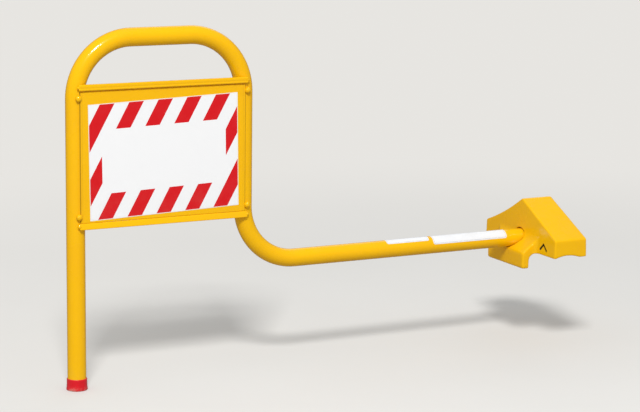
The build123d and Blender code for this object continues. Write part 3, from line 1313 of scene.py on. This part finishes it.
@dataclass
class CastChock:
    """The casting: a wedge and the bracket beside it blended into one. Lengths are in millimetres."""

    enamel: bpy.types.Material
    step: float = 0.8
    edge: float = 0.85
    blend: float = 8.0
    base_sides: tuple[float, float] = (-32.0, 24.0)
    ridge_sides: tuple[float, float] = (-29.5, 21.5)
    back_y: float = -97.3
    back_height: float = 27.3
    heel_start: float = -45.0
    arch_rise: float = 4.0
    arch_middle: float = -8.0
    arch_half: float = 21.0
    ridge: tuple[float, float] = (-1.0, 75.3)
    wheel_radius: float = 463.0
    toe_y: float = 95.5
    bracket_outer: float = -55.0
    bracket_inner: float = -43.7
    bracket_ends: tuple[float, float] = (-47.3, 52.0)
    bracket_depth: float = 22.0
    bracket_edge: float = 1.3
    bracket_root: float = 9.0
    shoulders: tuple[float, float] = (2.8, 20.5)
    rail_corner: float = 11.0
    arm_height: float = 16.5
    tube_radius: float = 12.7
    socket_end: float = 1.3
    mouth_radius: float = 14.4
    mouth_depth: float = 5.0
    # Strength of the painted shade in the ring where the arm's mouth meets the tube.
    mouth_painted_shade: float = 0.75
    groove_gap: float = 0.4
    room_round: float = 1.2
    mouth_round: float = 1.0
    mark_round: float = 0.6
    unevenness: float = 0.05
    mark_place: tuple[float, float] = (-65.8, 16.4)
    mark_reach: float = 8.1
    mark_drop: float = 8.0
    mark_stroke: float = 2.3
    mark_depth: float = 2.4

    def wedge(self, x: Array, y: Array, z: Array) -> Array:
        """The block under the wheel.

        Its faces are the underside, the upright back, the slope, the toe, two tapered sides and a hollow arc
        of the wheel's radius, centred on the axle of a wheel that touches rail and ridge. The underside is
        flat, but from the heel's start it lifts evenly towards the back into a low arch, a parabola across
        the rail.

        Args:
            x: places across the rail.
            y: places along the rail.
            z: heights above the rail.

        Returns:
            Distances to the block.
        """
        (left, right), (ridge_left, ridge_right) = self.base_sides, self.ridge_sides
        height = self.ridge[1]
        axle_y = self.ridge[0] + math.sqrt(self.wheel_radius**2 - (self.wheel_radius - height) ** 2)
        lift = np.clip((self.heel_start - y) / (self.heel_start - self.back_y), 0, 1)
        arch = np.clip(1 - ((x - self.arch_middle) / self.arch_half) ** 2, 0, 1)
        outline = [
            self.arch_rise * lift * arch - z,
            self.back_y - y + 0 * z,
            y - self.toe_y + 0 * z,
            face_distance(y, z, self.ridge, (self.back_y, self.back_height)),
            self.wheel_radius - np.hypot(y - axle_y, z - self.wheel_radius),
        ]
        sides = [
            face_distance(x, z, (ridge_left, height), (left, 0)),
            face_distance(x, z, (right, 0), (ridge_right, height)),
        ]
        return slab_meet([face + 0 * x for face in outline] + [side + 0 * y for side in sides], self.edge)

    def bracket(self, x: Array, y: Array, z: Array) -> Array:
        """The shelf that falls away from the block under the arm and ends in a hanging plate.

        Args:
            x: places across the rail.
            y: places along the rail.
            z: heights above the rail.

        Returns:
            Distances to the bracket, as if the rail's room were solid too.
        """
        (low, high), (back, front) = self.shoulders, self.bracket_ends
        faces = [
            face_distance(x, z, (self.ridge_sides[0], high), (self.bracket_outer, low)) + 0 * y,
            self.bracket_outer - x + 0 * y + 0 * z,
            x - self.base_sides[0] - self.bracket_root + 0 * y + 0 * z,
            -self.bracket_depth - z + 0 * x + 0 * y,
            back - y + 0 * x + 0 * z,
            y - front + 0 * x + 0 * z,
        ]
        return slab_meet(faces, self.bracket_edge)

    def rail_room(self, x: Array, z: Array) -> Array:
        """The rail's head, a quarter plane below the base with its corner rounded.

        Args:
            x: places across the rail.
            z: heights above the rail.

        Returns:
            Distances to the head.
        """
        over = self.bracket_inner + self.rail_corner - x
        above = z + self.rail_corner
        outside = np.hypot(np.maximum(over, 0), np.maximum(above, 0))
        return np.minimum(np.maximum(over, above), 0) + outside - self.rail_corner

    def mark(self, x: Array, y: Array, z: Array) -> Array:
        """A chevron of two strokes with round ends, drawn on the side that the arm enters.

        Each stroke is all places nearer than half its width to a straight piece of line.

        Args:
            x: places across the rail.
            y: places along the rail.
            z: heights above the rail.

        Returns:
            Distances to the chevron.
        """
        top = np.array(self.mark_place)
        strokes = []
        for side in (-1, 1):
            arm = np.array([side * self.mark_reach, -self.mark_drop])
            share = np.clip(((y - top[0]) * arm[0] + (z - top[1]) * arm[1]) / (arm @ arm), 0, 1)
            strokes.append(np.hypot(y - top[0] - share * arm[0], z - top[1] - share * arm[1]))
        flat = np.minimum(*strokes) - self.mark_stroke / 2
        return np.maximum(flat, np.abs(x - self.base_sides[0]) - self.mark_drop)

    def distances(self, x: Array, y: Array, z: Array) -> Array:
        """Distances to the finished casting.

        Wedge and bracket are joined with a round fillet. Then the rail's room, the arm's socket, mouth and
        groove and the mark are cut, and a slight unevenness is drawn in from the skin.

        Args:
            x: places across the rail.
            y: places along the rail.
            z: heights above the rail.

        Returns:
            The field, negative inside.
        """
        left = self.base_sides[0]
        body = blend_union(self.wedge(x, y, z), self.bracket(x, y, z), self.blend)
        body = blend_cut(body, self.rail_room(x, z) + 0 * y, self.room_round)
        off_arm = np.hypot(y, z - self.arm_height) + 0 * x
        socket = np.maximum(off_arm - self.tube_radius, x - self.socket_end)
        mouth = np.maximum(off_arm - self.mouth_radius, np.abs(x - left) - self.mouth_depth)
        groove = np.maximum(off_arm - self.tube_radius - self.groove_gap, x - left)
        body = blend_cut(body, np.minimum(np.minimum(socket, groove), mouth), self.mouth_round)
        body = blend_cut(body, np.maximum(self.mark(x, y, z), -body - self.mark_depth), self.mark_round)
        rough = waves(x + 0.7 * z, y + 0.5 * z, 17.0, 0.9) + 0.5 * waves(x - z, y + z, 5.0, 2.0)
        return body + self.unevenness * (1.5 + rough)

    def dirt(self, x: Array, y: Array, z: Array) -> Array:
        """Painted shade on the skin: full in the mark's recess, and part of the way in the ring round the
        arm's mouth.

        Args:
            x: places across the rail.
            y: places along the rail.
            z: heights above the rail.

        Returns:
            A share for each point.
        """
        in_mark = 1.06 * np.clip(1.0 - self.mark(x, y, z), 0, 1)
        past_rim = np.hypot(y, z - self.arm_height) - self.mouth_radius + 0.6
        in_mouth = self.mouth_painted_shade * np.clip(1 - past_rim / 0.5, 0, 1)
        in_mouth *= np.clip((x - self.base_sides[0] - 0.3) / 0.8, 0, 1) * (x < self.socket_end + 2)
        return np.maximum(in_mark, in_mouth)

    def build(self) -> bpy.types.Object:
        """Works the field out on a grid round the CAD casting and puts a net of quads on its surface.

        Returns:
            The casting.
        """
        low, high = node_box("chock_casting")
        origin = low - 2.5 * self.step
        counts = np.ceil((high - low) / self.step).astype(int) + 6
        x, y, z = (origin[axis] + self.step * np.arange(counts[axis]) for axis in range(3))
        field_values = self.distances(x[:, None, None], y[None, :, None], z[None, None, :])
        points, quads = surface_net(field_values, origin, self.step)
        points = np.clip(points, low, high)
        chock = add_piece("cast_chock", points, quads.tolist(), ["chock_casting"])
        # Painted shade for the enamel: in the mark's recess and in the arm's mouth.
        add_values(chock, "painted_shade", self.dirt(*points.T))
        dress(chock, self.enamel)
        report(chock)
        return chock


@dataclass
class Studio:
    """Floor, lamps, world and camera. Lengths are in metres."""

    pale: Colour = (0.80, 0.785, 0.755, 1.0)
    floor_colour: Colour = (0.73, 0.715, 0.685, 1.0)
    floor_patch: Colour = (0.5, 0.48, 0.45, 1.0)
    floor_fade: tuple[float, float] = (0.35, 1.7)
    bounce_colour: Colour = (0.44, 0.42, 0.38, 1.0)
    sky_colour: Colour = (0.96, 0.98, 1.0, 1.0)
    mirror_colour: Colour = (0.15, 0.15, 0.16, 1.0)
    sky: float = 0.58
    key: float = 276.0
    key_size: float = 1.2
    key_distance: float = 6.0
    target: Vector = field(default_factory=lambda: Vector((-0.36, 0.0, 0.1)))
    camera_place: Vector = field(default_factory=lambda: Vector((-1.7232, -2.6546, 0.6384)))
    heading: float = 27.07
    pitch: float = -10.47
    roll: float = 0.72
    lens: float = 120.31

    def floor(self) -> bpy.types.Object:
        """A wide round floor that fades into the background away from the object.

        Rings of points lie at radii that grow by a power, round one centre point.

        Returns:
            The floor.
        """
        rings, sides, reach = 24, 64, 60.0
        radius = reach * np.linspace(0, 1, rings + 1)[1:, None] ** 2.5
        angle = np.linspace(0, 2 * np.pi, sides, endpoint=False)[None]
        level = np.full((rings, sides), GROUND)
        flat = np.stack([radius * np.cos(angle), radius * np.sin(angle), level], axis=2)
        points = np.concatenate([flat.reshape(-1, 3), [[0, 0, GROUND]]])
        faces = grid_quads(rings, sides, Way.ROUND)[:, ::-1].tolist()
        faces += fan_faces(rings * sides, np.arange(sides))
        mesh = bpy.data.meshes.new("floor")
        mesh.from_pydata(points.tolist(), [], faces)
        floor = bpy.data.objects.new("floor", mesh)
        bpy.context.scene.collection.objects.link(floor)
        material, graph = new_material("pale_floor")
        place = graph.place()
        far = graph.add("ShaderNodeVectorMath", {0: place}, operation="LENGTH").outputs["Value"]
        fade = graph.span(far, *self.floor_fade)
        path = graph.add("ShaderNodeLightPath")
        seen = path.outputs["Is Camera Ray"]
        drift = graph.span(graph.noise(place, 3.0, 4.0), 0.3, 0.7, 0.0, 0.05)
        shade = graph.mix(drift, self.floor_colour, self.floor_patch)
        unseen = graph.mix(path.outputs["Is Glossy Ray"], self.bounce_colour, self.mirror_colour)
        matt = graph.add("ShaderNodeBsdfDiffuse", {"Color": graph.mix(seen, unseen, shade)})
        glow = graph.add("ShaderNodeEmission", {"Color": self.pale, "Strength": 1.0})
        share = graph.math("MULTIPLY", fade, seen)
        both = graph.add("ShaderNodeMixShader", {0: share, 1: matt.outputs[0], 2: glow.outputs[0]})
        close_material(graph, both)
        dress(floor, material)
        return floor

    def world(self) -> None:
        """An even sky that lights the object, with the background's colour where the camera sees it."""
        world = bpy.data.worlds.new("studio")
        bpy.context.scene.world = world
        world.use_nodes = True
        graph = Graph(world.node_tree)
        light = graph.add("ShaderNodeBackground", {"Color": self.sky_colour, "Strength": self.sky})
        mirror = graph.add("ShaderNodeBackground", {"Color": self.mirror_colour, "Strength": 1.0})
        backdrop = graph.add("ShaderNodeBackground", {"Color": self.pale, "Strength": 1.0})
        path = graph.add("ShaderNodeLightPath")
        glossy, seen = path.outputs["Is Glossy Ray"], path.outputs["Is Camera Ray"]
        lit = graph.add("ShaderNodeMixShader", {0: glossy, 1: light.outputs[0], 2: mirror.outputs[0]})
        both = graph.add("ShaderNodeMixShader", {0: seen, 1: lit.outputs[0], 2: backdrop.outputs[0]})
        graph.add("ShaderNodeOutputWorld", {"Surface": both.outputs[0]})

    def lamp(self, name: str, direction: tuple[float, float, float], power: float, size: float) -> None:
        """A square soft lamp that looks at the target.

        Args:
            name: the lamp's name.
            direction: from the target to the lamp.
            power: watts.
            size: side in metres.
        """
        data = bpy.data.lights.new(name, "AREA")
        data.energy, data.size, data.shape = power, size, "SQUARE"
        lamp = bpy.data.objects.new(name, data)
        toward = Vector(direction).normalized()
        lamp.location = self.target + toward * self.key_distance
        lamp.rotation_euler = toward.to_track_quat("Z", "Y").to_euler()
        bpy.context.scene.collection.objects.link(lamp)

    def camera(self) -> None:
        """The camera, from its place, heading, pitch and roll."""
        heading, pitch, roll = (math.radians(a) for a in (self.heading, self.pitch, self.roll))
        reach = math.cos(pitch)
        ahead = Vector((math.sin(heading) * reach, math.cos(heading) * reach, math.sin(pitch)))
        level = Vector((math.cos(heading), -math.sin(heading), 0.0))
        above = level.cross(ahead)
        right = level * math.cos(roll) + above * math.sin(roll)
        up = right.cross(ahead)
        data = bpy.data.cameras.new("camera")
        data.lens = self.lens
        camera = bpy.data.objects.new("camera", data)
        turn = Matrix((right, up, -ahead)).transposed()
        camera.matrix_world = Matrix.Translation(self.camera_place) @ turn.to_4x4()
        bpy.context.scene.collection.objects.link(camera)
        bpy.context.scene.camera = camera

    def build(self) -> None:
        """Sets up everything that isn't part of the object."""
        self.floor()
        self.world()
        self.lamp("key_lamp", (-0.33, -0.62, 0.71), self.key, self.key_size)
        self.lamp("back_lamp", (0.55, 0.75, 0.60), self.key * 0.08, 3.0)
        self.camera()
        bpy.context.scene.view_settings.view_transform = "Standard"


def main() -> None:
    """Builds the chock piece by piece, then the studio."""
    logging.basicConfig(level=logging.INFO, format="%(name)s %(message)s")
    effects = make_effects()
    sheet_skin, sheet_dust = Skin(120.0, 900.0, 0.15, 0.00006), Dust(0.1, GROUND, 0.055)
    weld_skin, cast_skin = Skin(420.0, 900.0, 0.15, 0.00015), Skin(240.0, 1300.0, 0.5, 0.00012)
    finishes = [
        Enamel("tube_enamel"),
        Enamel("sheet_enamel", sheet_skin, sheet_dust, chip_share=0.03, rub_start=0.75),
        Enamel("weld_enamel", weld_skin, rub_start=0.9),
        Enamel("cast_enamel", cast_skin, chip_share=0.07, rub_start=0.63),
        Rubber(),
        StripedPrint(),
        BareLabel(),
    ]
    tube, sheet, weld, cast, rubber, vinyl, label = (finish.make(effects) for finish in finishes)
    BentTube(tube).build()
    FootCup(rubber).build()
    WarningPanel(sheet, weld, vinyl).build()
    ArmLabels(label).build()
    CastChock(cast).build()
    Studio().build()


if __name__ == "__main__":
    main()
